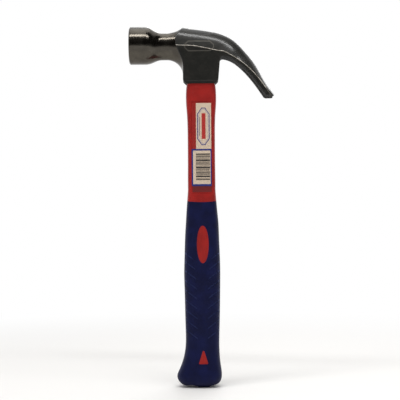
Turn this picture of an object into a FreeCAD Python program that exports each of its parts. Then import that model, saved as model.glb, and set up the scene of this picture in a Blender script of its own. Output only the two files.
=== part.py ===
import FreeCAD, Part
import math
import os

# Claw hammer with a fibreglass handle. Millimetres. The handle's axis is Z and points up to the
# head, the struck face looks along -X and the claws reach along +X. The origin lies on the handle's
# axis, level with the underside of the neck, where the hammer rests when it hangs from two pegs.

# ---------------------------------------------------------------- head: bell and neck
face_reach = 66.0           # handle axis to the struck face
bell_radius = 17.2
bell_length = 17.0
face_crown = 0.4            # rise of the struck face at its middle
rim_chamfer = 1.4
shoulder_step = 0.25        # small step behind the bell, left by grinding
shoulder_fall = 1.35        # above 1 the fall starts early and runs out gently
waist_side = 10.3
waist_up = 11.5
waist_down = 13.3
neck_rise = 0.2             # underside of the waist above the origin
waist_reach = 31.0          # handle axis to the waist, where the flare to the cheeks starts
waist_length = 3.5          # straight stretch between the shoulder and the flare
flare_side_more = 5.4       # how much the flare's radii are over its run, to the side and the top
flare_up_more = 9.4

# ---------------------------------------------------------------- head: cheeks and socket
cheek_wall = 4.0            # cheeks and socket round the eye's mouth: sides, front and rear
socket_front_wall = 4.4
socket_rear_wall = 3.9
socket_rear_slope = 1.5     # the rear wall is this much thicker at its top
socket_drop = 22.4          # underside of the neck to the socket's mouth
mouth_chamfer = 3.2         # on the front and rear of the mouth
mouth_side_chamfer = 2.0    # on its two sides
corner_radius = 2.2         # between the socket and the underside of the claws
panel_length = 27.0         # bare stamped frame on each cheek
panel_height = 9.6
panel_corner = 3.4
panel_x = -1.5
panel_z = 11.6
panel_line = 0.6
panel_depth = 0.25

# ---------------------------------------------------------------- head: claws
claw_tip_drop = 34.3        # underside of the neck to the tips of the claws
claw_tip_half = 15.0        # half width over the two tips
claw_reach = 66.4
claw_spread_from = 14.0
tip_round = 2.2
crown_power = 2.8           # 2 is a round back, more is a flatter top with fuller shoulders
slot_length = 37.0
slot_root = 1.3             # radius at the closed end of the V
slot_tip_half = 5.6         # half width at the tips, on the back
slot_bevel = 2.0            # extra half width on the underside
slot_tilt = 58.0
slot_lift = 1.4             # the V's floor line passes this far over the tips

# Back of the head over the cheeks: x, z, tilt of the section in degrees, and the height of the
# crowned back above the parting line.
cheek_back = [
    (-17.5, 29.9, 0.0, 17.6),
    (-6.0, 28.5, 4.0, 16.6),
    (6.0, 26.8, 9.0, 17.0),
    (15.0, 24.8, 15.0, 17.0),
]
neck_back = (3.0, 31.4, 0.0, 19.0)      # the same on the neck, this far before the waist

# Back of the claws: share of their reach, share of their fall, tilt, and height of the crown.
claw_back = [
    (0.1527, 0.0406, 24.0, 16.4),
    (0.2977, 0.1117, 35.0, 14.4),
    (0.4504, 0.2352, 45.0, 12.2),
    (0.6069, 0.3959, 53.0, 9.2),
    (0.7615, 0.6091, 58.0, 5.6),
    (0.9218, 0.8460, 60.0, 3.8),
    (1.0687, 1.0728, 60.0, 2.8),
]

# Underside of the claws: share of their reach and of their fall. It starts behind the socket.
claw_under = [(0.2481, 0.4179), (0.4580, 0.5533), (0.6679, 0.7631), (0.8282, 0.9645)]
under_start = 2.8           # behind the socket's rear face
under_start_z = 2.0

# ---------------------------------------------------------------- eye, core, bond, plug and seal
rod_x = 19.0
rod_y = 12.0
rod_square = 0.85
rod_top = 18.5              # above the origin
bond_mouth = 2.5            # bonding gap round the rod at the mouth and at the top of the eye
bond_top_x = 1.75
bond_top_y = 0.75
bond_over = 2.0             # bond above the rod's end, under the plug
cap_recess = 0.4
seal_height = 3.0

# ---------------------------------------------------------------- handle
jacket_wall = 4.0           # cover over the rod on the front and back of the exposed jacket
jacket_square = 1.0         # 0.55 is an ellipse, 1 is nearly a rounded rectangle
grip_square = 0.72
seam_drop = 129.6           # origin to the grip's top edge, at its two sides
seam_sag = 0.9              # the edge hangs lower on the front and back
grip_wall = 2.4
core_end_gap = 8.0          # butt thickness under the jacket's core
rod_end_cover = 6.0         # jacket under the rod's end
butt_drop = 299.7

# Exposed jacket: share of the way from the socket to the grip, cover over the rod's two edges.
jacket_line = [
    (0.0, 3.5),
    (0.0373, 4.0),
    (0.0994, 4.35),
    (0.1822, 4.25),
    (0.2857, 3.55),
    (0.4099, 3.1),
    (0.5549, 3.0),
    (0.8033, 3.05),
]

# Lower handle: share of the grip's length below its top edge, and the cover over the rod towards
# the face, towards the claws, and on the front and back.
grip_line = [
    (-0.0623, 3.1, 3.1, 4.0),
    (-0.0270, 3.55, 3.55, 4.5),
    (0.0024, 3.95, 3.95, 5.1),
    (0.0729, 4.8, 5.0, 6.0),
    (0.1434, 5.6, 5.9, 6.8),
    (0.2375, 6.4, 6.4, 7.5),
    (0.3257, 6.9, 6.9, 7.9),
    (0.4021, 7.2, 7.0, 8.1),
    (0.5256, 6.7, 6.7, 7.8),
    (0.6549, 6.3, 6.2, 7.3),
    (0.7666, 6.1, 5.7, 7.1),
    (0.8078, 6.8, 5.8, 7.3),
    (0.8489, 8.3, 6.2, 7.8),
    (0.8959, 11.1, 7.2, 8.6),
    (0.9342, 13.9, 7.9, 9.3),
    (0.9636, 13.3, 7.2, 8.6),
    (0.9853, 10.1, 4.1, 5.6),
    (1.0, 3.0, -2.5, 0.5),
]

butt_notch_over = 0.9       # shallow dip across the end of the butt, this far past the rod's edge
butt_notch_radius = 9.0
butt_notch_depth = 2.7

# Windows in the grip, filled by the jacket's bosses.
window_x = 0.6
oval_below = 39.4           # grip's top edge to the middle of the oval
oval_length = 34.0
oval_width = 10.8
triangle_rise = 35.9        # end of the butt to the triangle's point
triangle_height = 13.8
triangle_width = 8.8
triangle_round = 0.8

# Chevron grooves on the front and back of the grip.
chevron_lap = 3.8           # the first row starts this far above the oval's lower end
chevron_pitch = 9.03
chevron_clear = 6.0         # least distance from the last row to the triangle's point
chevron_angle = 35.0
chevron_gap = 4.6           # half of the plain strip between the two arms
chevron_spread = 3.9        # how much wider the strip starts under the oval window
chevron_outer = 14.0
chevron_width = 1.1
chevron_depth = 0.5

# ---------------------------------------------------------------- labels
land_depth = 0.5            # flat land on the jacket's front
land_edge = 1.5             # jacket left standing on each side of the land, and round the labels
label_left_edge = 2.7       # edge of the land to the edges of the label and the sticker
label_right_edge = 2.0
label_below = 17.8          # socket's mouth to the label
label_above = 8.3           # label to the grip's top edge
sticker_left_edge = 2.0
sticker_right_edge = 1.8
sticker_height = 33.8
sticker_rise = 5.4          # label's lower edge to the sticker's
film = 0.25

# ---------------------------------------------------------------- sizes that follow from the others
axis_height = waist_down + neck_rise
shoulder_length = face_reach - bell_length - waist_reach - waist_length
eye_mouth_x = rod_x + 2 * bond_mouth
eye_mouth_y = rod_y + 2 * bond_mouth
eye_top_x = rod_x + 2 * bond_top_x
eye_top_y = rod_y + 2 * bond_top_y
cheek_half = eye_mouth_y / 2 + cheek_wall
socket_front = eye_mouth_x / 2 + socket_front_wall
socket_rear_bottom = eye_mouth_x / 2 + socket_rear_wall
socket_rear_top = socket_rear_bottom + socket_rear_slope
cap_bottom = rod_top + bond_over
jacket_depth = rod_y / 2 + jacket_wall
grip_length = butt_drop - seam_drop
oval_drop = seam_drop + oval_below
triangle_top = butt_drop - triangle_rise
chevron_first = oval_drop + oval_length / 2 - chevron_lap
chevron_space = triangle_top - chevron_clear - chevron_first
chevron_count = math.floor(chevron_space / chevron_pitch) + 1
land_half = rod_x / 2 + min(cover for share, cover in jacket_line) - land_edge
label_left = label_left_edge - land_half
label_right = land_half - label_right_edge
label_top = socket_drop + label_below
label_bottom = seam_drop - label_above
sticker_left = sticker_left_edge - land_half
sticker_right = land_half - sticker_right_edge
sticker_bottom = label_bottom - sticker_rise
sticker_top = sticker_bottom - sticker_height


def point(x, y, z):
    return FreeCAD.Vector(x, y, z)


def box(x0, x1, y0, y1, z0, z1):
    return Part.makeBox(x1 - x0, y1 - y0, z1 - z0, point(x0, y0, z0))


def line(a, b):
    return Part.LineSegment(a, b).toShape()


def spline(points):
    curve = Part.BSplineCurve()
    curve.interpolate(points)
    return curve.toShape()


def quadrants(centre, east, north, west, south, square):
    """Closed outline of four curved quadrants round a centre. Each reach is a vector."""
    edges = []
    reaches = [east, north, west, south, east]
    for a, b in zip(reaches, reaches[1:]):
        curve = Part.BezierCurve()
        curve.setPoles([centre + a, centre + a + b * square, centre + b + a * square, centre + b])
        edges.append(curve.toShape())
    return Part.Wire(edges)


def level_oval(z, left, right, depth, square):
    """Section across the handle at height z."""
    return quadrants(
        point(0, 0, z), point(right, 0, 0), point(0, depth, 0), point(-left, 0, 0), point(0, -depth, 0), square
    )


def prism_y(outline, reach):
    """Solid from an outline in the XZ plane, reaching equally to both sides of it."""
    face = Part.Face(outline)
    face.translate(point(0, -reach, 0))
    return face.extrude(point(0, 2 * reach, 0))


# ---------------------------------------------------------------- bell and neck

ellipse = 0.5523
far = 60.0
bell_rear = bell_length - face_reach


def bell():
    rim = bell_radius - rim_chamfer
    face_x = -face_reach
    sphere = (rim * rim + face_crown * face_crown) / (2 * face_crown)
    halfway = sphere - math.sqrt(sphere * sphere - rim * rim / 4)
    profile = Part.Wire(
        [
            line(point(bell_rear, 0, 0), point(bell_rear, 0, bell_radius)),
            line(point(bell_rear, 0, bell_radius), point(face_x + rim_chamfer, 0, bell_radius)),
            line(point(face_x + rim_chamfer, 0, bell_radius), point(face_x + face_crown, 0, rim)),
            Part.Arc(
                point(face_x + face_crown, 0, rim),
                point(face_x + halfway, 0, rim / 2),
                point(face_x, 0, 0),
            ).toShape(),
            line(point(face_x, 0, 0), point(bell_rear, 0, 0)),
        ]
    )
    solid = Part.Face(profile).revolve(point(0, 0, 0), point(1, 0, 0), 360)
    solid.translate(point(0, 0, axis_height))
    return solid


def neck_section(x, side, up, down):
    return quadrants(
        point(x, 0, axis_height), point(0, side, 0), point(0, 0, up), point(0, -side, 0), point(0, 0, -down), ellipse
    )


def flare(radius, run):
    return radius - math.sqrt(radius * radius - run * run)


def neck():
    """Ground waist: falls from the bell, then flares out into the cheeks and down the socket."""
    ring = bell_radius - shoulder_step
    sections = [neck_section(bell_rear - 1.0, ring, ring, ring)]
    steps = 6
    for i in range(steps + 1):
        part = i / steps
        fall = (0.5 + 0.5 * math.cos(math.pi * part)) ** shoulder_fall
        reach = [waist + (ring - waist) * fall for waist in (waist_side, waist_up, waist_down)]
        sections.append(neck_section(bell_rear + shoulder_length * part, *reach))
    run = waist_reach - socket_front
    flare_down = run
    for part in (0.25, 0.45, 0.62, 0.77, 0.89, 0.96, 1.0):
        side = waist_side + flare(run + flare_side_more, run * part)
        up = waist_up + flare(run + flare_up_more, run * part)
        down = waist_down + flare(flare_down, run * part * 0.9999)
        sections.append(neck_section(run * part - waist_reach, side, up, down))
    return Part.makeLoft([*sections], True)


# ---------------------------------------------------------------- cheeks, socket and claws


def head_half(x):
    """Half width of the cheeks and claws at x."""
    part = max(0.0, (x - claw_spread_from) / (claw_reach - claw_spread_from))
    return cheek_half + (claw_tip_half - cheek_half) * part**1.5


def claw_place(reach_share, fall_share):
    """x and z of a place on the claws, from its shares of their reach and fall."""
    top = cheek_back[-1][1]
    x = claw_spread_from + reach_share * (claw_reach - claw_spread_from)
    return x, top - fall_share * (top + claw_tip_drop)


def back_line():
    """Back of the head from the neck to the tips: x, z, tilt and height of the crown."""
    before, z, tilt, height = neck_back
    rows = [(-waist_reach - before, z, tilt, height)] + cheek_back
    for reach_share, fall_share, tilt, height in claw_back:
        rows.append((*claw_place(reach_share, fall_share), tilt, height))
    return rows


def crowned():
    """The crowned back, swept from the neck to the tips, over a deep base."""
    sections = []
    for x, z, tilt, height in back_line():
        lean = math.radians(tilt)
        down = point(-math.sin(lean), 0, -math.cos(lean))
        half = head_half(x + down.x * height)
        shares = [i / 5 for i in range(-5, 6)]
        shares[0] = -1.1
        shares[-1] = 1.1
        top = [point(x, s * half, z) + down * (height * abs(s) ** crown_power) for s in shares]
        base = height * 1.1**crown_power + 10.0
        low = [point(x, top[i].y, z) + down * base for i in (0, -1)]
        sections.append(
            Part.Wire([spline(top), line(top[-1], low[1]), line(low[1], low[0]), line(low[0], top[0])])
        )
    return Part.makeLoft(sections, True)


def side_outline():
    """Outline of the cheeks, socket and claws from the side. The back is left open above."""
    left = -waist_reach + 2.0
    top = 45.0
    right = claw_reach
    tip = -claw_tip_drop
    under = [point(socket_rear_top + under_start, 0, under_start_z)]
    for reach_share, fall_share in claw_under:
        x, z = claw_place(reach_share, fall_share)
        under.append(point(x, 0, z))
    tip_start = point(under[-1].x + 1.9 * tip_round, 0, tip)
    tip_middle = point(under[-1].x + 0.5 * tip_round, 0, tip + 0.28 * tip_round)
    corner_end = point(socket_rear_top, 0, under[0].z - 1.6 * corner_radius)
    corner_middle = point(socket_rear_top + 0.3 * corner_radius, 0, under[0].z - 0.45 * corner_radius)
    mouth = -socket_drop
    rear = point(socket_rear_bottom, 0, mouth + mouth_chamfer)
    rear_low = point(socket_rear_bottom - mouth_chamfer, 0, mouth)
    front_low = point(mouth_chamfer - socket_front, 0, mouth)
    front = point(-socket_front - 2.0, 0, mouth + mouth_chamfer + 2.0)
    return Part.Wire(
        [
            line(point(left, 0, top), point(right, 0, top)),
            line(point(right, 0, top), point(right, 0, tip)),
            line(point(right, 0, tip), tip_start),
            Part.Arc(tip_start, tip_middle, under[-1]).toShape(),
            spline(under[::-1]),
            Part.Arc(under[0], corner_middle, corner_end).toShape(),
            line(corner_end, rear),
            line(rear, rear_low),
            line(rear_low, front_low),
            line(front_low, front),
            line(front, point(left, 0, front.z)),
            line(point(left, 0, front.z), point(left, 0, top)),
        ]
    )


def plan_prism():
    """The head's outline from above, as an upright prism."""
    left = -waist_reach + 2.0
    right = claw_reach + 14.0
    low = -far
    steps = 5
    spread = [claw_spread_from + (right - claw_spread_from) * i / steps for i in range(steps + 1)]
    edge = [point(x, head_half(x), low) for x in spread]
    mirror = [point(p.x, -p.y, p.z) for p in edge]
    outline = Part.Wire(
        [
            line(point(left, cheek_half, low), edge[0]),
            spline(edge),
            line(edge[-1], mirror[-1]),
            spline(mirror[::-1]),
            line(mirror[0], point(left, -cheek_half, low)),
            line(point(left, -cheek_half, low), point(left, cheek_half, low)),
        ]
    )
    return Part.Face(outline).extrude(point(0, 0, 2 * far))


def mouth_wedges():
    """Chamfers along the two sides of the socket's mouth."""
    wedges = []
    reach = 6.0
    for side in (-1, 1):
        inner = cheek_half - mouth_side_chamfer
        low = -socket_drop
        outline = Part.makePolygon(
            [
                point(-25, side * inner, low),
                point(-25, side * (inner + reach), low + reach),
                point(-25, side * (inner + reach), low - 1),
                point(-25, side * inner, low - 1),
                point(-25, side * inner, low),
            ]
        )
        wedges.append(Part.Face(outline).extrude(point(25 + socket_rear_top + 1.5, 0, 0)))
    return wedges


def slot():
    """V between the claws, wider on the underside than on the back."""
    lean = math.radians(slot_tilt)
    along = point(math.cos(lean), 0, -math.sin(lean))
    out = point(math.sin(lean), 0, math.cos(lean))
    root = point(claw_reach, 0, -claw_tip_drop) - along * slot_length + out * slot_lift
    reach = 2 * slot_length
    outlines = []
    for rise in (8.0, -22.0):
        wider = slot_bevel * (8.0 - rise) / 16.0
        start = root + out * rise
        root_half = slot_root + wider * 0.6
        mouth_half = (slot_tip_half + wider) * reach / slot_length - root_half
        side = point(0, 1, 0)
        p = [
            start + along * root_half + side * root_half,
            start,
            start + along * root_half - side * root_half,
            start + along * reach - side * mouth_half,
            start + along * reach + side * mouth_half,
        ]
        outlines.append(
            Part.Wire([Part.Arc(p[0], p[1], p[2]).toShape(), line(p[2], p[3]), line(p[3], p[4]), line(p[4], p[0])])
        )
    return Part.makeLoft(outlines, True, True)


def octagon(length, height, corner):
    x = length / 2
    z = height / 2
    c = corner
    corners = [(-x, c - z), (-x, z - c), (c - x, z), (x - c, z), (x, z - c), (x, c - z), (x - c, -z), (c - x, -z)]
    points = [point(panel_x + a, 0, panel_z + b) for a, b in corners]
    return Part.makePolygon(points + points[:1])


def panel_frame():
    inset = 2 * panel_line
    outer = prism_y(octagon(panel_length, panel_height, panel_corner), 30.0)
    inner = prism_y(octagon(panel_length - inset, panel_height - inset, panel_corner - panel_line * 0.6), 31.0)
    return outer.cut(inner)


def eye():
    """Tapered hole for the handle's core, from the socket's mouth out through the top."""
    low = -socket_drop
    high = 36.0
    return Part.makeLoft(
        [
            level_oval(low - 1.0, eye_mouth_x / 2, eye_mouth_x / 2, eye_mouth_y / 2, rod_square),
            level_oval(high, eye_top_x / 2, eye_top_x / 2, eye_top_y / 2, rod_square),
        ],
        True,
        True,
    )


def head_blank():
    """The whole forging before its eye, slot and stamped frames."""
    ground = bell().fuse([neck(), box(-socket_front, claw_reach + 14.0, -far, far, -far, far)])
    cheeks = crowned().fuse(box(-waist_reach + 2.0, socket_rear_top + 3.0, -far / 2, far / 2, -far / 2, 0.0))
    cheeks = cheeks.common(prism_y(side_outline(), far)).common(plan_prism())
    cheeks = cheeks.cut(mouth_wedges())
    front = box(-face_reach - 5.0, 2.0 - waist_reach, -far, far, -far, far)
    return ground.common(cheeks.fuse(front)).removeSplitter()


blank = head_blank()
eye_tool = eye()
frame_tool = panel_frame()
front_frame = frame_tool.common(box(-far, far, -far, 0, -far, far)).cut(blank.translated(point(0, panel_depth, 0)))
back_frame = frame_tool.common(box(-far, far, 0, far, -far, far)).cut(blank.translated(point(0, -panel_depth, 0)))
hammer_head = blank.cut([eye_tool, slot(), front_frame, back_frame])

# ---------------------------------------------------------------- core, bond, plug and seal
rod_low = core_end_gap + rod_end_cover - butt_drop
rod_blank = Part.Face(level_oval(rod_low, rod_x / 2, rod_x / 2, rod_y / 2, rod_square))
core_rod = rod_blank.extrude(point(0, 0, rod_top - rod_low))


def eye_slab(low, high):
    return eye_tool.common(box(-far, far, -far, far, low, high))


socket_seal = eye_slab(-socket_drop, seal_height - socket_drop).cut(core_rod)
eye_bond = eye_slab(seal_height - socket_drop, cap_bottom).cut(core_rod)
eye_cap = eye_slab(cap_bottom, far).common(blank.translated(point(0, 0, -cap_recess)))

# ---------------------------------------------------------------- handle


def jacket_upper():
    """The exposed jacket, from the socket's mouth down to the first section of the lower handle."""
    share, left, right, depth = grip_line[0]
    length = seam_drop + share * grip_length - socket_drop
    sections = []
    for part, cover in jacket_line + [(1.0, left)]:
        half = rod_x / 2 + cover
        sections.append(level_oval(-socket_drop - part * length, half, half, jacket_depth, jacket_square))
    return Part.makeLoft(sections, True)


def handle_lower(inset):
    """The handle below the exposed jacket, all round smaller by the inset."""
    sections = []
    edge = rod_x / 2 - inset
    flat = rod_y / 2 - inset
    for i, (share, left, right, depth) in enumerate(grip_line):
        square = jacket_square + (grip_square - jacket_square) * min(1.0, i / 4)
        z = -seam_drop - share * grip_length
        sections.append(level_oval(z, edge + left, edge + right, flat + depth, square))
    return Part.makeLoft(sections, True)


def below_seam():
    """Everything under the grip's top edge, which sags on the front and back."""
    side = 30.0
    drop = seam_drop + seam_sag
    fall = seam_sag * (side / (rod_x / 2 + grip_line[2][1])) ** 2
    edge = Part.Arc(point(-side, 0, fall - drop), point(0, 0, -drop), point(side, 0, fall - drop)).toShape()
    low = -butt_drop - 20.0
    outline = Part.Wire(
        [
            edge,
            line(point(side, 0, fall - drop), point(side, 0, low)),
            line(point(side, 0, low), point(-side, 0, low)),
            line(point(-side, 0, low), point(-side, 0, fall - drop)),
        ]
    )
    return prism_y(outline, far)


def windows():
    oval = Part.Ellipse(
        point(window_x, 0, oval_length / 2 - oval_drop),
        point(window_x + oval_width / 2, 0, -oval_drop),
        point(window_x, 0, -oval_drop),
    ).toShape()
    half = triangle_width / 2
    low = -triangle_top - triangle_height
    corners = [
        point(window_x, 0, -triangle_top),
        point(window_x + half, 0, low),
        point(window_x - half, 0, low),
    ]
    triangle = prism_y(Part.makePolygon(corners + corners[:1]), far)
    upright = [e for e in triangle.Edges if abs(e.Vertexes[0].Y - e.Vertexes[-1].Y) > far]
    return [prism_y(Part.Wire([oval]), far), triangle.makeFillet(triangle_round, upright)]


def chevrons():
    """Slanting bars, two to a row, that run down towards the middle of the grip."""
    bars = []
    slope = math.tan(math.radians(chevron_angle))
    tall = chevron_width / math.cos(math.radians(chevron_angle))
    for row in range(chevron_count):
        inner = chevron_gap + chevron_spread * 0.5**row
        low = -chevron_first - chevron_pitch * row
        outer = max(chevron_outer, inner + 1.0)
        high = low + (outer - inner) * slope
        for side in (-1, 1):
            corners = [
                point(side * inner, 0, low - tall / 2),
                point(side * outer, 0, high - tall / 2),
                point(side * outer, 0, high + tall / 2),
                point(side * inner, 0, low + tall / 2),
            ]
            bars.append(prism_y(Part.makePolygon(corners + corners[:1]), far / 2))
    return bars


lower = handle_lower(0.0)
under_seam = below_seam()
core_stop = butt_drop - core_end_gap
core = handle_lower(grip_wall).common(box(-far, far, -far, far, -core_stop, 0))
fills = [window.common(lower) for window in windows()]
butt_notch_x = -rod_x / 2 - butt_notch_over
notch = Part.makeCylinder(
    butt_notch_radius,
    2 * far,
    point(butt_notch_x, -far, -butt_drop - butt_notch_radius + butt_notch_depth),
    point(0, 1, 0),
)
land_face = land_depth - jacket_depth
land = box(
    -land_half,
    land_half,
    -far,
    land_face,
    -label_bottom - land_edge,
    land_edge - label_top,
)

handle_jacket = jacket_upper().fuse([lower.cut(under_seam), core] + fills)
handle_jacket = handle_jacket.cut([land, core_rod]).removeSplitter()

skin = lower.cut(handle_lower(chevron_depth))
grooves = [bar.common(skin) for bar in chevrons()]
grip_sleeve = lower.common(under_seam).cut([core, notch] + fills)
grip_sleeve = grip_sleeve.cut(grooves)

# ---------------------------------------------------------------- labels
front_label = box(label_left, label_right, land_face - film, land_face, -label_bottom, -label_top)
sticker_face = land_face - film
barcode_sticker = box(
    sticker_left,
    sticker_right,
    sticker_face - film,
    sticker_face,
    -sticker_bottom,
    -sticker_top,
)

# ---------------------------------------------------------------- one file to each piece
nodes = {
    "hammer_head": hammer_head,
    "core_rod": core_rod,
    "handle_jacket": handle_jacket,
    "grip_sleeve": grip_sleeve,
    "eye_bond": eye_bond,
    "eye_cap": eye_cap,
    "socket_seal": socket_seal,
    "front_label": front_label,
    "barcode_sticker": barcode_sticker,
}

os.makedirs("parts", exist_ok=True)
for name, shape in nodes.items():
    solids = shape.Solids
    print(name, "solids", len(solids), "valid", shape.isValid(), "volume", round(shape.Volume, 1))
    shape.exportStep(os.path.join("parts", name + ".step"))
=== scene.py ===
import math

import bpy
import numpy as np
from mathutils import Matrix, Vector

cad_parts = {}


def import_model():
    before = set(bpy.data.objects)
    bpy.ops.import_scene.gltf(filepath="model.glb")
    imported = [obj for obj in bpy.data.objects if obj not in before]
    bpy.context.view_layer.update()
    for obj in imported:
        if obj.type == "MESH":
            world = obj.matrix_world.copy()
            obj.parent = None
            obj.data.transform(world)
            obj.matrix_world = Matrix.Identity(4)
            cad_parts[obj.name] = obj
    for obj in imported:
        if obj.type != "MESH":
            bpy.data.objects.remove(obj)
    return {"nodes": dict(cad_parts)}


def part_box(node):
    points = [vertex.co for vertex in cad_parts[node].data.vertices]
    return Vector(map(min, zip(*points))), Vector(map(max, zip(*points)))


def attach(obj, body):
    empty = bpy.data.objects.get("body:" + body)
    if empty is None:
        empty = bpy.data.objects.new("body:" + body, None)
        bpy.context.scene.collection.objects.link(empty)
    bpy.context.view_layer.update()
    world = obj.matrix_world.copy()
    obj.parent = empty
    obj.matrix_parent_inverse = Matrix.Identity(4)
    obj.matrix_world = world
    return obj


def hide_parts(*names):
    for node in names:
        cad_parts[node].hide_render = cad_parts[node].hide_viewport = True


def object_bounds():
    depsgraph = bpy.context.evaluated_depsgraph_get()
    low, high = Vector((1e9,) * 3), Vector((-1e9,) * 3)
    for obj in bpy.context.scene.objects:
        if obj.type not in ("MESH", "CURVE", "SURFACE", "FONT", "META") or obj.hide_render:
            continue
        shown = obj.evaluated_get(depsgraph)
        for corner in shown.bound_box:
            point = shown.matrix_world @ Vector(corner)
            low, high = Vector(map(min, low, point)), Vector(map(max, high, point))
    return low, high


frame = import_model()
cad_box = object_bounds()
nodes = frame["nodes"]

# Sizes are in millimetres, as in the part's source, and MM turns them to metres. The studio's own
# distances, at the end, are in metres.
MM = 0.001

head_low, head_high = (Vector(corner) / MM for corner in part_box("hammer_head"))
label_low, label_high = (Vector(corner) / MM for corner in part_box("front_label"))
sticker_low, sticker_high = (Vector(corner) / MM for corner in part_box("barcode_sticker"))

# ------------------------------------------------------------------ head: turned bell and neck
face_end = head_low.x
face_crown = 0.4            # fall of the struck face at its rim
face_rim = 15.8
face_flat = 15.3            # the face is trued up to this radius, inside its chamfer
face_depth = 0.8            # places this near the face's end belong to it
rim_depth = 1.8             # the chamfered rim, which keeps its softened shape
bell_radius = 17.2
bell_axis = head_high.z - bell_radius
bell_rear = -49.0
bell_step = 0.5             # the step behind the bell keeps its softened shape this far each way
shoulder_radius = 16.95
shoulder_length = 14.5
shoulder_power = 1.35       # 1 is an even fall, more is steeper behind the bell
flare_start = -31.0
flare_length = 14.5
# Waist and flare radius to the side, upwards and downwards.
flares = [(10.3, 20.0), (11.5, 24.0), (13.3, 14.6)]
neck_end = -17.0
true_reach = 0.42           # places up to this far from the turned shape are brought back to it
true_fade = 0.2             # the outermost of them only in part

# ------------------------------------------------------------------ head: forged skin
skin_pitch = 0.5            # size of the fine skin's faces
skin_passes = 3             # rounds of softening, for edges as a die leaves them
cheek_half = 12.5
cheek_inset = 0.4           # a place this far inside the cheek's face starts to count as on it
cheek_fade = 0.3            # and counts fully this much further out
claw_start = 14.0
claw_spread = 2.5           # how much wider the claws are on each side at their tips
claw_spread_power = 1.5

# Border of the ground finish: height, and distance along the head.
ground_border = [
    (-25.0, -16.2), (-4.0, -16.3), (10.0, -21.0), (13.5, -23.0), (20.0, -23.2), (25.0, -21.5), (32.0, -16.8),
]
ground_fade = 0.8
cheek_start = -23.0         # the cheeks' flat faces stay unground from here

# Parting line along each flank, where the two forging dies met: distance along the head, and height.
parting_line = [
    (-22.5, 12.6), (-17.5, 12.3), (-7.2, 11.9), (3.3, 10.0), (10.6, 8.4), (15.3, 7.4), (21.3, 6.4),
    (29.0, 2.3), (38.5, -4.1), (49.2, -14.2), (59.0, -27.1), (63.6, -34.0),
]
flash_radius = 0.26
flash_sunk = 0.12           # depth of the bead's middle under the flank
flash_step = 1.2
highlight_reach = 0.7            # the pale painted highlight reaches this far from the line
highlight_side_from = 11.0       # on the flanks only, outside this half width

# Stamped frame on each cheek: a long octagon.
frame_x = -1.5
frame_z = 11.6
frame_half_length = 13.5
frame_half_height = 4.8
frame_corner = 14.9         # distance along plus height, on the cut corners
frame_line = 0.3            # half width of the stamped line
frame_side_from = 8.0       # the cheeks lie outside this half width, the eye inside it

# ------------------------------------------------------------------ grip: chevron grooves
groove_first = 182.2        # inner end of the first row below the origin
groove_pitch = 9.03
groove_rows = 9
groove_angle = math.radians(35.0)
groove_width = 1.1
groove_gap = 4.6            # half of the plain strip between the two arms
groove_spread = 3.9         # how much wider the strip starts, under the oval window
groove_depth_from = 3.0     # the grooves lie further than this in front of and behind the middle

# ------------------------------------------------------------------ printed label and sticker
panel_left = label_low.x + 3.5
print_lap = 0.3             # print runs this far past an edge or under the sticker
badge_x = label_low.x + 10.2
badge_z = label_high.z - 21.3
badge_half_width = 5.7
badge_half_height = 17.1
badge_slope = 1.45          # steepness of the cut corners
badge_corner = 19.55        # height plus slope times width, on the cut corners
sticker_border = [1.3, 1.0, 1.8, 1.5]      # left, right, bottom, top
bars_left = 3.9             # sticker's edges to the ends of the bars
bars_right = 1.5
bars_rise = 5.5
bar_widths = [0.9, 0.5, 1.5, 0.6, 0.6, 1.1, 0.5, 0.9, 1.4, 0.5, 0.6, 0.9, 0.5, 1.6, 0.6, 0.9, 0.5, 1.2]
bar_gaps = [0.45, 0.75, 0.5, 0.4]          # taken in turn

CREAM = "#BDAB97"
NAVY = "#16246A"
WHITE = "#FFFFFF"


def linear(code):
    """An sRGB hex colour as linear RGBA."""
    shares = [int(code[i : i + 2], 16) / 255 for i in (1, 3, 5)]
    return (*(s / 12.92 if s <= 0.04045 else ((s + 0.055) / 1.055) ** 2.4 for s in shares), 1.0)


def add(tree, kind, inputs=None, **settings):
    """Adds a node with its settings. Each input takes a number, a hex colour, or what feeds it:
    an output, or a node that stands for its first output."""
    node = tree.nodes.new(kind)
    for name, value in settings.items():
        setattr(node, name, value)
    for name, value in (inputs or {}).items():
        if isinstance(value, bpy.types.Node):
            value = value.outputs[0]
        if isinstance(value, bpy.types.NodeSocket):
            tree.links.new(value, node.inputs[name])
        else:
            node.inputs[name].default_value = linear(value) if isinstance(value, str) else value
    return node


# ------------------------------------------------------------------ materials


def empty_material(name):
    """A material with an empty tree."""
    material = bpy.data.materials.new(name)
    material.use_nodes = True
    material.node_tree.nodes.clear()
    return material, material.node_tree


def new_material(name):
    """The same, with object coordinates in millimetres to draw patterns on."""
    material, tree = empty_material(name)
    origin = add(tree, "ShaderNodeTexCoord").outputs["Object"]
    place = add(tree, "ShaderNodeVectorMath", {0: origin, "Scale": 1 / MM}, operation="SCALE")
    return material, tree, place


def surfaced(material, inputs):
    """Finishes a material with one Principled surface."""
    surface = add(material.node_tree, "ShaderNodeBsdfPrincipled", inputs)
    add(material.node_tree, "ShaderNodeOutputMaterial", {"Surface": surface})
    return material


def tinted(tree, pattern, low, high, under, over, most=1.0):
    """Lays one colour over another where a pattern rises from low to high, up to a greatest share."""
    rise = {"Value": pattern, "From Min": low, "From Max": high, "To Max": most}
    share = add(tree, "ShaderNodeMapRange", rise, interpolation_type="SMOOTHSTEP")
    return add(tree, "ShaderNodeMix", {0: share, 6: under, 7: over}, data_type="RGBA").outputs[2]


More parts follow.
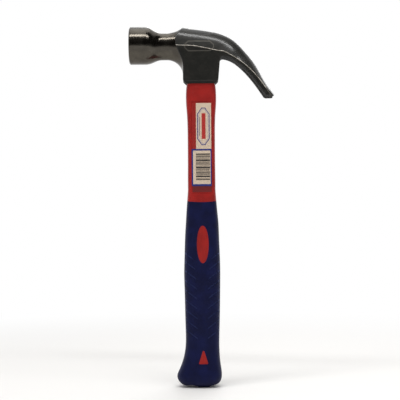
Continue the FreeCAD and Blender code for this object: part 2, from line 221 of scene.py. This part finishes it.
def textured(tree, grain, smoothest, roughest, depth):
    """The roughness and relief of a moulded or cast skin, both from the same grain."""
    rise = {"Value": grain, "From Min": 0.3, "From Max": 0.7, "To Min": smoothest, "To Max": roughest}
    rough = add(tree, "ShaderNodeMapRange", rise, interpolation_type="SMOOTHSTEP")
    relief = add(tree, "ShaderNodeBump", {"Height": grain, "Distance": depth * MM})
    return {"Roughness": rough, "Normal": relief}


def between(tree, value, low, high, soft=0.05):
    """1 where a value lies between low and high, with soft edges."""
    rise = {"Value": value, "From Min": low - soft, "From Max": low + soft}
    fall = {"Value": value, "From Min": high - soft, "From Max": high + soft, "To Min": 1.0, "To Max": 0.0}
    rises = add(tree, "ShaderNodeMapRange", rise, interpolation_type="SMOOTHSTEP")
    falls = add(tree, "ShaderNodeMapRange", fall, interpolation_type="SMOOTHSTEP")
    return add(tree, "ShaderNodeMath", {0: rises, 1: falls}, operation="MULTIPLY")


def printed_patch(tree, axes, left, right, low, high, soft=0.05):
    """1 inside an upright rectangle seen from the front."""
    across = between(tree, axes["X"], left, right, soft)
    up = between(tree, axes["Z"], low, high, soft)
    return add(tree, "ShaderNodeMath", {0: across, 1: up}, operation="MULTIPLY")


def covered(tree, ground, coats):
    """Lays coats over a ground colour in turn, each as far as its own patch says."""
    for patch, coat in coats:
        ground = add(tree, "ShaderNodeMix", {0: patch, 6: ground, 7: coat}, data_type="RGBA").outputs[2]
    return ground


# Drop-forged carbon steel. The bell and neck are ground and polished, so they mirror the room softly.
# The rest keeps its near-black forging scale under clear lacquer: dull, pebbled, with a soft sheen.
# Pale painted highlights lie along the stamped frame and the parting line. Underneath, where it faces
# down, it is painted darkest as shade, and it has no lacquer. Forging scale is pebbled about 0.3 mm
# apart, which is too fine to show, so its grain is drawn 1 mm across.
def head_steel():
    material, tree, place = new_material("forged_steel")
    ground, highlight_share, stamped_highlight, under = (
        add(tree, "ShaderNodeAttribute", attribute_name=name).outputs["Fac"]
        for name in ("ground", "parting_highlight", "stamped_highlight", "under")
    )
    patches = add(tree, "ShaderNodeTexNoise", {"Vector": place, "Scale": 1 / 7.0})
    pebbling = {"Vector": place, "Scale": 1 / 1.0, "Detail": 3.0, "Roughness": 0.6}
    pebbles = add(tree, "ShaderNodeTexNoise", pebbling)
    rise = {"Value": ground, "From Min": 0.35, "From Max": 0.65}
    polished = add(tree, "ShaderNodeMapRange", rise, interpolation_type="SMOOTHSTEP")
    unpolished = add(tree, "ShaderNodeMath", {0: 1.0, 1: polished}, operation="SUBTRACT")

    scale = tinted(tree, patches, 0.35, 0.65, "#151511", "#1D1C18")
    scale = tinted(tree, pebbles, 0.58, 0.76, scale, "#403E39", 0.55)
    # Pale painted highlight along the stamped frame's lines.
    frame_highlight = add(tree, "ShaderNodeMath", {0: stamped_highlight, 1: 0.55}, operation="MULTIPLY")
    scale = covered(tree, scale, [(frame_highlight, "#6F6B63")])
    # Pale painted highlight along the parting line, standing in for its glint.
    scale = tinted(tree, highlight_share, 0.2, 0.9, scale, "#8B857B", 0.5)
    bright = tinted(tree, patches, 0.35, 0.65, "#4C4842", "#56524B")
    # Faces turned down are painted darkest, as shade. They also have no lacquer.
    colour = covered(tree, scale, [(under, "#12120F"), (polished, bright)])

    upper = add(tree, "ShaderNodeMath", {0: 1.0, 1: under}, operation="SUBTRACT")
    metal = add(tree, "ShaderNodeMath", {0: upper, 1: 0.45}, operation="MULTIPLY")
    metal = add(tree, "ShaderNodeMath", {0: metal, 1: polished}, operation="MAXIMUM")

    rise = {"Value": pebbles, "From Min": 0.3, "From Max": 0.7, "To Min": 0.44, "To Max": 0.56}
    dull = add(tree, "ShaderNodeMapRange", rise, interpolation_type="SMOOTHSTEP")
    dull = add(tree, "ShaderNodeMath", {0: under, 1: 0.4, 2: dull}, operation="MULTIPLY_ADD")
    rise = {"Value": patches, "From Min": 0.3, "From Max": 0.7, "To Min": 0.19, "To Max": 0.24}
    shiny = add(tree, "ShaderNodeMapRange", rise, interpolation_type="SMOOTHSTEP")
    rough = add(tree, "ShaderNodeMix", {0: polished, 2: dull, 3: shiny})

    height = add(tree, "ShaderNodeMath", {0: pebbles, 1: unpolished}, operation="MULTIPLY")
    relief = add(tree, "ShaderNodeBump", {"Height": height, "Distance": 0.09 * MM})
    bare = add(tree, "ShaderNodeMath", {0: polished, 1: under}, operation="MAXIMUM")
    fall = {"Value": bare, "From Min": 0.0, "From Max": 1.0, "To Min": 0.5, "To Max": 0.0}
    lacquer = add(tree, "ShaderNodeMapRange", fall, interpolation_type="SMOOTHSTEP")
    inputs = {"Base Color": colour, "Metallic": metal, "Roughness": rough, "Normal": relief}
    return surfaced(material, {**inputs, "Coat Weight": lacquer, "Coat Roughness": 0.17})


# Trimmed flash on the forging: bare steel, painted pale as a highlight, so that it shows as a thin bright
# line.
def painted_highlight_flash():
    material, tree, place = new_material("trimmed_steel_painted_highlight")
    highlight_patches = add(tree, "ShaderNodeTexNoise", {"Vector": place, "Scale": 1 / 2.5})
    # Pale colour painted on as a highlight along the flash.
    colour = tinted(tree, highlight_patches, 0.35, 0.65, "#979186", "#CFC8BD")
    rise = {"Value": highlight_patches, "From Min": 0.3, "From Max": 0.7, "To Min": 0.28, "To Max": 0.4}
    rough = add(tree, "ShaderNodeMapRange", rise, interpolation_type="SMOOTHSTEP")
    return surfaced(material, {"Base Color": colour, "Metallic": 0.35, "Roughness": rough})


# Glass-filled polypropylene, injection moulded in red: an even colour whose spark-eroded texture
# breaks the gloss into a soft sheen. The texture's real grain is about 0.1 mm, which is too fine to
# show, so it is drawn 0.8 mm across.
def jacket_plastic():
    material, tree, place = new_material("jacket_plastic")
    fine = add(tree, "ShaderNodeTexNoise", {"Vector": place, "Scale": 1 / 0.8})
    broad = add(tree, "ShaderNodeTexNoise", {"Vector": place, "Scale": 1 / 14.0})
    colour = tinted(tree, broad, 0.3, 0.7, "#7F120F", "#8F1713")
    colour = tinted(tree, fine, 0.62, 0.75, colour, "#A23A32", 0.35)
    skin = textured(tree, fine, 0.36, 0.52, 0.06)
    return surfaced(material, {"Base Color": colour, "IOR": 1.49, "Specular IOR Level": 0.3, **skin})


# Thermoplastic rubber, overmoulded in navy blue: matt, with a leathery moulded texture, and painted
# lighter in its grooves as a highlight. The texture's real grain is about 0.2 mm, which is too fine to show,
# so it is drawn
# 0.9 mm across.
def grip_rubber():
    material, tree, place = new_material("grip_rubber")
    groove = add(tree, "ShaderNodeAttribute", attribute_name="groove").outputs["Fac"]
    fine = add(tree, "ShaderNodeTexNoise", {"Vector": place, "Scale": 1 / 0.9})
    broad = add(tree, "ShaderNodeTexNoise", {"Vector": place, "Scale": 1 / 11.0})
    colour = tinted(tree, broad, 0.3, 0.7, "#060A2C", "#0A1038")
    colour = tinted(tree, fine, 0.60, 0.75, colour, "#1F2650", 0.30)
    # Grooves painted lighter, as a highlight.
    groove_highlight = add(tree, "ShaderNodeMath", {0: groove, 1: 0.7}, operation="MULTIPLY")
    colour = covered(tree, colour, [(groove_highlight, "#2B345F")])
    skin = textured(tree, fine, 0.50, 0.66, 0.08)
    return surfaced(material, {"Base Color": colour, "IOR": 1.52, "Specular IOR Level": 0.14, **skin})


def badge_edge(tree, axes):
    """How far outside the badge's octagon a place lies. It is less than 0 inside."""
    across = add(tree, "ShaderNodeMath", {0: axes["X"], 1: badge_x}, operation="SUBTRACT")
    across = add(tree, "ShaderNodeMath", {0: across}, operation="ABSOLUTE")
    up = add(tree, "ShaderNodeMath", {0: axes["Z"], 1: badge_z}, operation="SUBTRACT")
    up = add(tree, "ShaderNodeMath", {0: up}, operation="ABSOLUTE")
    side = add(tree, "ShaderNodeMath", {0: across, 1: badge_half_width}, operation="SUBTRACT")
    end = add(tree, "ShaderNodeMath", {0: up, 1: badge_half_height}, operation="SUBTRACT")
    square = add(tree, "ShaderNodeMath", {0: side, 1: end}, operation="MAXIMUM")
    slant = add(tree, "ShaderNodeMath", {0: across, 1: badge_slope, 2: up}, operation="MULTIPLY_ADD")
    slant = add(tree, "ShaderNodeMath", {0: slant, 1: badge_corner}, operation="SUBTRACT")
    corner = add(tree, "ShaderNodeMath", {0: slant, 1: math.hypot(badge_slope, 1.0)}, operation="DIVIDE")
    return add(tree, "ShaderNodeMath", {0: square, 1: corner}, operation="MAXIMUM")


# Paper label under gloss film, which ripples a little: a cream panel with a plain outlined badge,
# beside a red strip and over a dark red foot.
def label_film():
    material, tree, place = new_material("label_film")
    axes = add(tree, "ShaderNodeSeparateXYZ", {"Vector": place}).outputs
    edge = badge_edge(tree, axes)
    panel_edges = [panel_left, label_high.x + print_lap, sticker_high.z - print_lap, label_high.z + print_lap]
    bar_edges = [badge_x - 1.6, badge_x + 2.0, badge_z - 11.5, badge_z + 12.0]
    rule_edges = [badge_x - 3.8, badge_x - 3.1, badge_z - 8.5, badge_z + 8.5]
    coats = [
        (printed_patch(tree, axes, *panel_edges), CREAM),
        (between(tree, edge, -0.75, 0.0), NAVY),
        (between(tree, edge, -1.65, -1.25), "#8C8A96"),
        (printed_patch(tree, axes, *bar_edges, soft=0.5), "#9E2A26"),
        (printed_patch(tree, axes, *rule_edges, soft=0.15), "#6B6668"),
        (between(tree, axes["Z"], label_low.z - print_lap, sticker_low.z + 0.4), "#5E1312"),
    ]
    colour = covered(tree, "#861D19", coats)
    ripple = add(tree, "ShaderNodeTexNoise", {"Vector": place, "Scale": 1 / 9.0})
    relief = add(tree, "ShaderNodeBump", {"Height": ripple, "Distance": 0.10 * MM})
    return surfaced(material, {"Base Color": colour, "Roughness": 0.30, "IOR": 1.50, "Normal": relief})


# Half-gloss paper sticker: a navy border round a pale field, with plain bars of mixed width that
# follow no code, and no figures.
def sticker_film():
    material, tree, place = new_material("sticker_film")
    axes = add(tree, "ShaderNodeSeparateXYZ", {"Vector": place}).outputs
    left, right, bottom, top = sticker_border
    across = [sticker_low.x + left, sticker_high.x - right]
    field = printed_patch(tree, axes, *across, sticker_low.z + bottom, sticker_high.z - top)
    bars = 0.0
    low = sticker_low.z + bars_rise
    for i, width in enumerate(bar_widths):
        bar = between(tree, axes["Z"], low, low + width)
        bars = add(tree, "ShaderNodeMath", {0: bars, 1: bar}, operation="MAXIMUM")
        low += width + bar_gaps[i % len(bar_gaps)]
    length = between(tree, axes["X"], sticker_low.x + bars_left, sticker_high.x - bars_right)
    bars = add(tree, "ShaderNodeMath", {0: bars, 1: length}, operation="MULTIPLY")
    colour = covered(tree, NAVY, [(field, CREAM), (bars, "#23211F")])
    ripple = add(tree, "ShaderNodeTexNoise", {"Vector": place, "Scale": 1 / 8.0})
    relief = add(tree, "ShaderNodeBump", {"Height": ripple, "Distance": 0.08 * MM})
    return surfaced(material, {"Base Color": colour, "Roughness": 0.34, "IOR": 1.50, "Normal": relief})


# Cast and moulded plugs, mostly out of sight: mottled and half gloss. Their mottling's grains are the
# given size across.
def plug_material(name, dark, light, smoothest, grain_size):
    material, tree, place = new_material(name)
    mottle = add(tree, "ShaderNodeTexNoise", {"Vector": place, "Scale": 1 / grain_size, "Detail": 3.0})
    colour = tinted(tree, mottle, 0.35, 0.65, dark, light)
    skin = textured(tree, mottle, smoothest, smoothest + 0.12, 0.05)
    return surfaced(material, {"Base Color": colour, **skin})


# Pultruded glass fibre in polyester: straight pale strands along the rod. A bundle of fibres is about
# 0.1 mm thick, which is too fine to show, so the strands are drawn 0.5 mm thick.
def fibreglass():
    material, tree, place = new_material("fibreglass")
    drawn = add(tree, "ShaderNodeMapping", {"Vector": place, "Scale": (1.0, 1.0, 0.03)})
    strands = add(tree, "ShaderNodeTexNoise", {"Vector": drawn, "Scale": 1 / 0.5, "Detail": 3.0})
    colour = tinted(tree, strands, 0.35, 0.65, "#C9BD8F", "#E4DCBB")
    relief = add(tree, "ShaderNodeBump", {"Height": strands, "Distance": 0.05 * MM})
    return surfaced(material, {"Base Color": colour, "Roughness": 0.4, "Normal": relief})


# ------------------------------------------------------------------ meshes


def dress(piece, material):
    """Gives every material slot of a piece the same material."""
    if not piece.material_slots:
        piece.data.materials.append(material)
    for slot in piece.material_slots:
        slot.material = material


def new_piece(name, data):
    """An object for a mesh, lamp or camera, in the scene."""
    piece = bpy.data.objects.new(name, data)
    bpy.context.scene.collection.objects.link(piece)
    return piece


def rows_of(items, name):
    """One property of every item in a collection, as rows of three numbers."""
    values = np.empty(len(items) * 3)
    items.foreach_get(name, values)
    return values.reshape(-1, 3)


def merged_copy(node_name, name):
    """A new piece with the shape of a CAD node, its loose triangles joined into one skin.
    It keeps the node's own corner normals, so curved faces shade smoothly and edges stay crisp."""
    source = nodes[node_name].data
    places = rows_of(source.vertices, "co")
    normals = rows_of(source.corner_normals, "vector").reshape(-1, 3, 3)
    corners = np.empty(len(source.loops), dtype=np.int64)
    source.loops.foreach_get("vertex_index", corners)
    microns = np.round(places * 1e6).astype(np.int64)
    first, joined = np.unique(microns, axis=0, return_index=True, return_inverse=True)[1:]
    faces = joined.reshape(-1)[corners].reshape(-1, 3)
    whole = (faces[:, 0] != faces[:, 1]) & (faces[:, 1] != faces[:, 2]) & (faces[:, 0] != faces[:, 2])
    mesh = bpy.data.meshes.new(name)
    mesh.from_pydata(places[first].tolist(), [], faces[whole].tolist())
    mesh.shade_smooth()
    mesh.normals_split_custom_set(normals[whole].reshape(-1, 3).tolist())
    return new_piece(name, mesh)


def finished_mesh(piece):
    """Turns a piece's modifiers into plain mesh and removes them."""
    bpy.context.view_layer.update()
    solid = piece.evaluated_get(bpy.context.evaluated_depsgraph_get())
    mesh = bpy.data.meshes.new_from_object(solid)
    piece.modifiers.clear()
    piece.data = mesh
    return mesh


# ------------------------------------------------------------------ head


def parting_distance(x, z):
    """Distance in side view from the parting line."""
    line = np.array(parting_line)
    rows = np.arange(len(line))
    steps = np.linspace(0.0, len(line) - 1.0, 400)
    line_x = np.interp(steps, rows, line[:, 0])
    line_z = np.interp(steps, rows, line[:, 1])
    return np.sqrt((x[:, None] - line_x) ** 2 + (z[:, None] - line_z) ** 2).min(1)


def stamped_edge(x, z):
    """How far outside the stamped frame's octagon a place on the cheek lies."""
    along = np.abs(x - frame_x)
    up = np.abs(z - frame_z)
    square = np.maximum(along - frame_half_length, up - frame_half_height)
    return np.maximum(square, (along + up - frame_corner) * math.sqrt(0.5))


def turned_reach(x):
    """Half width, rise and drop of the turned bell and the ground neck."""
    share = np.clip((x - bell_rear) / shoulder_length, 0.0, 1.0)
    fall = (0.5 + 0.5 * np.cos(math.pi * share)) ** shoulder_power
    run = np.clip(x - flare_start, 0.0, flare_length)
    reaches = []
    for waist, radius in flares:
        reach = waist + (shoulder_radius - waist) * fall + radius - np.sqrt(radius**2 - run**2)
        reaches.append(np.where(x < bell_rear, bell_radius, reach))
    return reaches


def turned_level(x, y, rise):
    """1 on the turned bell and ground neck, less inside them, more outside."""
    side, up, down = turned_reach(x)
    return np.sqrt((y / side) ** 2 + (rise / np.where(rise > 0.0, up, down)) ** 2)


def turned_normals(x, y, rise):
    """Directions straight out of the turned shape, from how its level rises over a short step."""
    step = 0.02
    slopes = []
    for along, across, up in np.eye(3) * step:
        ahead = turned_level(x + along, y + across, rise + up)
        behind = turned_level(x - along, y - across, rise - up)
        slopes.append((ahead - behind) / (2 * step))
    normals = np.array(slopes).T
    return normals / np.maximum(np.linalg.norm(normals, axis=1), 1e-9)[:, None]


def true_up(places):
    """Brings the bell, face and neck of the softened skin back to their exact turned shapes.
    Returns how far each place was brought back, from 0 to 1, and the exact normals."""
    x, y, z = places.T.copy()
    rise = z - bell_axis
    level = turned_level(x, y, rise)
    gap = np.abs(level - 1.0) * turned_reach(x)[0]
    turned = (x > face_end + rim_depth) & (x < neck_end) & (np.abs(x - bell_rear) > bell_step)
    near = np.clip((true_reach - gap) / true_fade, 0.0, 1.0) * turned
    scale = 1.0 + near * (1.0 / np.maximum(level, 0.01) - 1.0)
    radius = np.hypot(y, rise)
    face = (x < face_end + face_depth) & (radius < face_flat)
    places[:, 1] = y * scale
    places[:, 2] = bell_axis + rise * scale
    places[face, 0] = face_end + face_crown * (radius[face] / face_rim) ** 2
    return near, turned_normals(places[:, 0], places[:, 1], places[:, 2] - bell_axis)


def mark_finishes(mesh, places):
    """Marks where the head is ground, where pale highlights are painted along the parting line and the
    stamped frame, and where it faces down and is painted darker as shade, each from 0 to 1.
    """
    x, y, z = places.T
    side = np.abs(y)
    lean = rows_of(mesh.vertex_normals, "vector")[:, 2]
    border = np.interp(z, *np.array(ground_border).T)
    cheek = np.clip((side - cheek_half + cheek_inset) / cheek_fade, 0.0, 1.0) * (x > cheek_start)
    # Distance from the stamped frame's lines, where a pale highlight is painted.
    stamp = np.abs(stamped_edge(x, z) + frame_line) / frame_line
    # Painted highlight along the parting line: 1 on the line, fading out over its reach.
    highlight_share = np.zeros(len(x))
    flanks = np.flatnonzero((side > highlight_side_from) & (x > cheek_start))
    for part in np.array_split(flanks, 40):
        highlight_share[part] = np.clip(1.0 - parting_distance(x[part], z[part]) / highlight_reach, 0.0, 1.0)
    finishes = {
        "ground": np.clip(0.5 - (x - border) / ground_fade, 0.0, 1.0) * (1.0 - cheek),
        "parting_highlight": highlight_share,
        "stamped_highlight": np.clip(1.5 - stamp, 0.0, 1.0) * (side > frame_side_from),
        # Faces turned down: painted darker as shade in the material, and bare of lacquer.
        "under": np.clip(-lean * 2.2 - 0.3, 0.0, 1.0) * np.clip(x - neck_end, 0.0, 1.0),
    }
    for name, values in finishes.items():
        mesh.attributes.new(name, "FLOAT", "POINT").data.foreach_set("value", values)


def forged_head():
    """The head's fine skin: softened all over as a forging is, then trued up where it was turned."""
    piece = merged_copy("hammer_head", "head_forging")
    skin = piece.modifiers.new("skin", "REMESH")
    skin.mode = "VOXEL"
    skin.voxel_size = skin_pitch * MM
    soften = piece.modifiers.new("soften", "SMOOTH")
    soften.iterations = skin_passes
    mesh = finished_mesh(piece)
    mesh.shade_smooth()
    places = rows_of(mesh.vertices, "co") / MM
    near, exact = true_up(places)
    mark_finishes(mesh, places)
    mesh.vertices.foreach_set("co", (places * MM).ravel())
    mesh.update()
    share = near[:, None]
    normals = rows_of(mesh.vertex_normals, "vector") * (1.0 - share) + exact * share
    normals /= np.linalg.norm(normals, axis=1)[:, None]
    mesh.normals_split_custom_set_from_vertices(normals.tolist())
    return piece


def flank(x):
    """Half width of the cheeks and claws along the head."""
    share = max(x - claw_start, 0.0) / (head_high.x - claw_start)
    return cheek_half + claw_spread * share**claw_spread_power


def bead_tree():
    """Sweeps a round bead along every edge of a mesh."""
    tree = bpy.data.node_groups.new("swept bead", "GeometryNodeTree")
    plan = tree.interface
    plan.new_socket("Path", in_out="INPUT", socket_type="NodeSocketGeometry")
    radius = plan.new_socket("Bead radius", in_out="INPUT", socket_type="NodeSocketFloat")
    step = plan.new_socket("Step length", in_out="INPUT", socket_type="NodeSocketFloat")
    finish = plan.new_socket("Finish", in_out="INPUT", socket_type="NodeSocketMaterial")
    plan.new_socket("Bead", in_out="OUTPUT", socket_type="NodeSocketGeometry")
    given = add(tree, "NodeGroupInput").outputs
    path = add(tree, "GeometryNodeMeshToCurve", {"Mesh": given["Path"]})
    smooth = add(tree, "GeometryNodeCurveSplineType", {"Curve": path}, spline_type="CATMULL_ROM")
    spaced = {"Curve": smooth, "Length": given["Step length"]}
    even = add(tree, "GeometryNodeResampleCurve", spaced, mode="LENGTH")
    ring = add(tree, "GeometryNodeCurvePrimitiveCircle", {"Radius": given["Bead radius"], "Resolution": 8})
    bead = add(tree, "GeometryNodeCurveToMesh", {"Curve": even, "Profile Curve": ring, "Fill Caps": True})
    real = add(tree, "GeometryNodeRealizeInstances", {"Geometry": bead})
    dressed = add(tree, "GeometryNodeSetMaterial", {"Geometry": real, "Material": given["Finish"]})
    add(tree, "NodeGroupOutput", {"Bead": dressed})
    return tree, radius.identifier, step.identifier, finish.identifier


def parting_flash(material):
    """The thin raised line that the dies leave along both flanks, trimmed but not ground off."""
    line = parting_line[:-1]
    count = len(line)
    places = [(x, side * (flank(x) - flash_sunk), z) for side in (-1, 1) for x, z in line]
    edges = [(start + i, start + i + 1) for start in (0, count) for i in range(count - 1)]
    mesh = bpy.data.meshes.new("parting_flash")
    mesh.from_pydata([tuple(c * MM for c in place) for place in places], edges, [])
    piece = new_piece("parting_flash", mesh)
    tree, radius, step, finish = bead_tree()
    sweep = piece.modifiers.new("bead", "NODES")
    sweep.node_group = tree
    sweep[radius] = flash_radius * MM
    sweep[step] = flash_step * MM
    sweep[finish] = material
    finished_mesh(piece).shade_smooth()
    return piece


head = forged_head()
dress(head, head_steel())
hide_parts("hammer_head")
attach(head, "root")

flash = parting_flash(painted_highlight_flash())
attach(flash, "root")

# ------------------------------------------------------------------ handle


def overmoulded_grip():
    """The rubber sleeve, with its slanting grooves marked for the painted highlight in them."""
    piece = merged_copy("grip_sleeve", "overmoulded_grip")
    mesh = piece.data
    x, y, z = rows_of(mesh.polygons, "center").T / MM
    across = np.abs(x)
    half_height = groove_width / math.cos(groove_angle) * 0.49
    groove = np.zeros(len(x))
    for row in range(groove_rows):
        inner = groove_gap + groove_spread * 0.5**row
        line = -groove_first - groove_pitch * row + (across - inner) * math.tan(groove_angle)
        groove[(np.abs(z - line) < half_height) & (across > inner) & (np.abs(y) > groove_depth_from)] = 1.0
    mesh.attributes.new("groove", "FLOAT", "FACE").data.foreach_set("value", groove)
    return piece


grip = overmoulded_grip()
dress(grip, grip_rubber())
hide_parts("grip_sleeve")
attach(grip, "root")

dress(nodes["handle_jacket"], jacket_plastic())
dress(nodes["front_label"], label_film())
dress(nodes["barcode_sticker"], sticker_film())
dress(nodes["core_rod"], fibreglass())
dress(nodes["eye_bond"], plug_material("epoxy", "#7C6A3E", "#9A8757", 0.25, 3.0))
dress(nodes["eye_cap"], plug_material("cap_plastic", "#151515", "#232322", 0.38, 1.2))
dress(nodes["socket_seal"], plug_material("seal_rubber", "#3A2A32", "#4A3540", 0.55, 1.0))

# ------------------------------------------------------------------ studio, in metres


def background_rays(tree):
    """1 for rays that show the background: straight to the camera, mirrored, or through glass."""
    seen = add(tree, "ShaderNodeLightPath").outputs
    straight_or_mirrored = {0: seen["Is Camera Ray"], 1: seen["Is Glossy Ray"]}
    direct = add(tree, "ShaderNodeMath", straight_or_mirrored, operation="MAXIMUM")
    return add(tree, "ShaderNodeMath", {0: direct, 1: seen["Is Transmission Ray"]}, operation="MAXIMUM")


# Matt painted board: pale round the object, where it keeps the shadow, and white further away, so
# that it meets the white room without an edge.
def floor_board():
    material, tree, place = new_material("painted_board")
    away = add(tree, "ShaderNodeVectorMath", {0: place}, operation="LENGTH").outputs["Value"]
    rise = {"Value": away, "From Min": 330.0, "From Max": 750.0}
    far = add(tree, "ShaderNodeMapRange", rise, interpolation_type="SMOOTHSTEP")
    far = add(tree, "ShaderNodeMath", {0: far, 1: background_rays(tree)}, operation="MULTIPLY")
    board = add(tree, "ShaderNodeBsdfPrincipled", {"Base Color": "#E9E8E6", "Roughness": 0.7})
    white = add(tree, "ShaderNodeEmission", {"Color": WHITE})
    mix = add(tree, "ShaderNodeMixShader", {0: far, 1: board, 2: white})
    add(tree, "ShaderNodeOutputMaterial", {"Surface": mix})
    return material


def floor():
    """A wide square just under the butt."""
    reach = 3.0
    level = cad_box[0][2] - 0.0002
    corners = [(-reach, -reach, level), (reach, -reach, level), (reach, reach, level), (-reach, reach, level)]
    mesh = bpy.data.meshes.new("studio_floor")
    mesh.from_pydata(corners, [], [(0, 1, 2, 3)])
    piece = new_piece("studio_floor", mesh)
    dress(piece, floor_board())


def lamp(name, place, aim, size, power, mirrored=True):
    """A soft box. One that isn't mirrored gives light, but no metal shows it."""
    data = bpy.data.lights.new(name, "AREA")
    data.shape = "RECTANGLE"
    data.size, data.size_y = size
    data.energy = power
    piece = new_piece(name, data)
    piece.visible_glossy = mirrored
    piece.location = place
    piece.rotation_euler = (Vector(aim) - Vector(place)).to_track_quat("-Z", "Y").to_euler()


def world():
    """White studio behind the object, also seen in metal. A grey room lights everything evenly."""
    sky = bpy.data.worlds.new("studio")
    sky.use_nodes = True
    tree = sky.node_tree
    tree.nodes.clear()
    room = add(tree, "ShaderNodeBackground", {"Color": "#A2A1A0"})
    white = add(tree, "ShaderNodeBackground", {"Color": WHITE})
    mix = add(tree, "ShaderNodeMixShader", {0: background_rays(tree), 1: room, 2: white})
    add(tree, "ShaderNodeOutputWorld", {"Surface": mix})
    bpy.context.scene.world = sky


# Black cloth, drawn as an even dim glow in place of lit cloth, which makes dark bands in the polished steel.
def dim_glowing_cloth():
    material, tree = empty_material("dim_glowing_cloth")
    cloth = add(tree, "ShaderNodeEmission", {"Color": "#353433"})
    add(tree, "ShaderNodeOutputMaterial", {"Surface": cloth})
    return material


def dark_flag():
    """Cloth hung round the front of the studio, as part of a ball. Only reflections show it."""
    reach = 1.9
    middle = Vector((0.0, 0.0, -0.05))
    turns = [math.radians(turn) for turn in range(-100, 101, 5)]
    rises = [math.radians(rise) for rise in np.linspace(-3.0, 78.0, 19)]
    places = []
    for rise in rises:
        for turn in turns:
            level = math.cos(rise)
            outwards = Vector((level * math.sin(turn), -level * math.cos(turn), math.sin(rise)))
            places.append(middle + reach * outwards)
    row = len(turns)
    starts = [j * row + i for j in range(len(rises) - 1) for i in range(row - 1)]
    mesh = bpy.data.meshes.new("dark_flag")
    mesh.from_pydata(places, [], [(s, s + 1, s + row + 1, s + row) for s in starts])
    piece = new_piece("dark_flag", mesh)
    piece.visible_camera = False
    piece.visible_diffuse = False
    piece.visible_shadow = False
    dress(piece, dim_glowing_cloth())


def camera():
    """Level camera a metre in front of the hammer, rolled by under half a degree."""
    data = bpy.data.cameras.new("camera")
    data.sensor_width = 36.0
    data.lens = 97.8
    piece = new_piece("camera", data)
    piece.location = (-0.00164, -1.0, -0.1286)
    piece.rotation_euler = (math.pi / 2, math.atan(0.00726), 0.0)
    bpy.context.scene.camera = piece


floor()
lamp("strip", (-0.1, -0.50, 0.85), aim=(0.0, 0.0, 0.0), size=(1.3, 0.15), power=9.0)
lamp("top_soft", (-0.1, 0.10, 0.98), aim=(0.0, 0.0, 0.0), size=(1.2, 0.65), power=2.6)
lamp("left_box", (-0.95, -0.75, 0.25), aim=(0.0, 0.0, -0.05), size=(0.5, 0.9), power=3.5, mirrored=False)
lamp("right_box", (0.95, -0.65, 0.25), aim=(0.0, 0.0, -0.05), size=(0.5, 0.9), power=3.5, mirrored=False)
lamp("back_box", (0.3, 0.95, 0.45), aim=(0.0, 0.0, -0.1), size=(0.8, 0.6), power=4.0)
dark_flag()
world()
camera()

scene = bpy.context.scene
scene.view_settings.view_transform = "Standard"
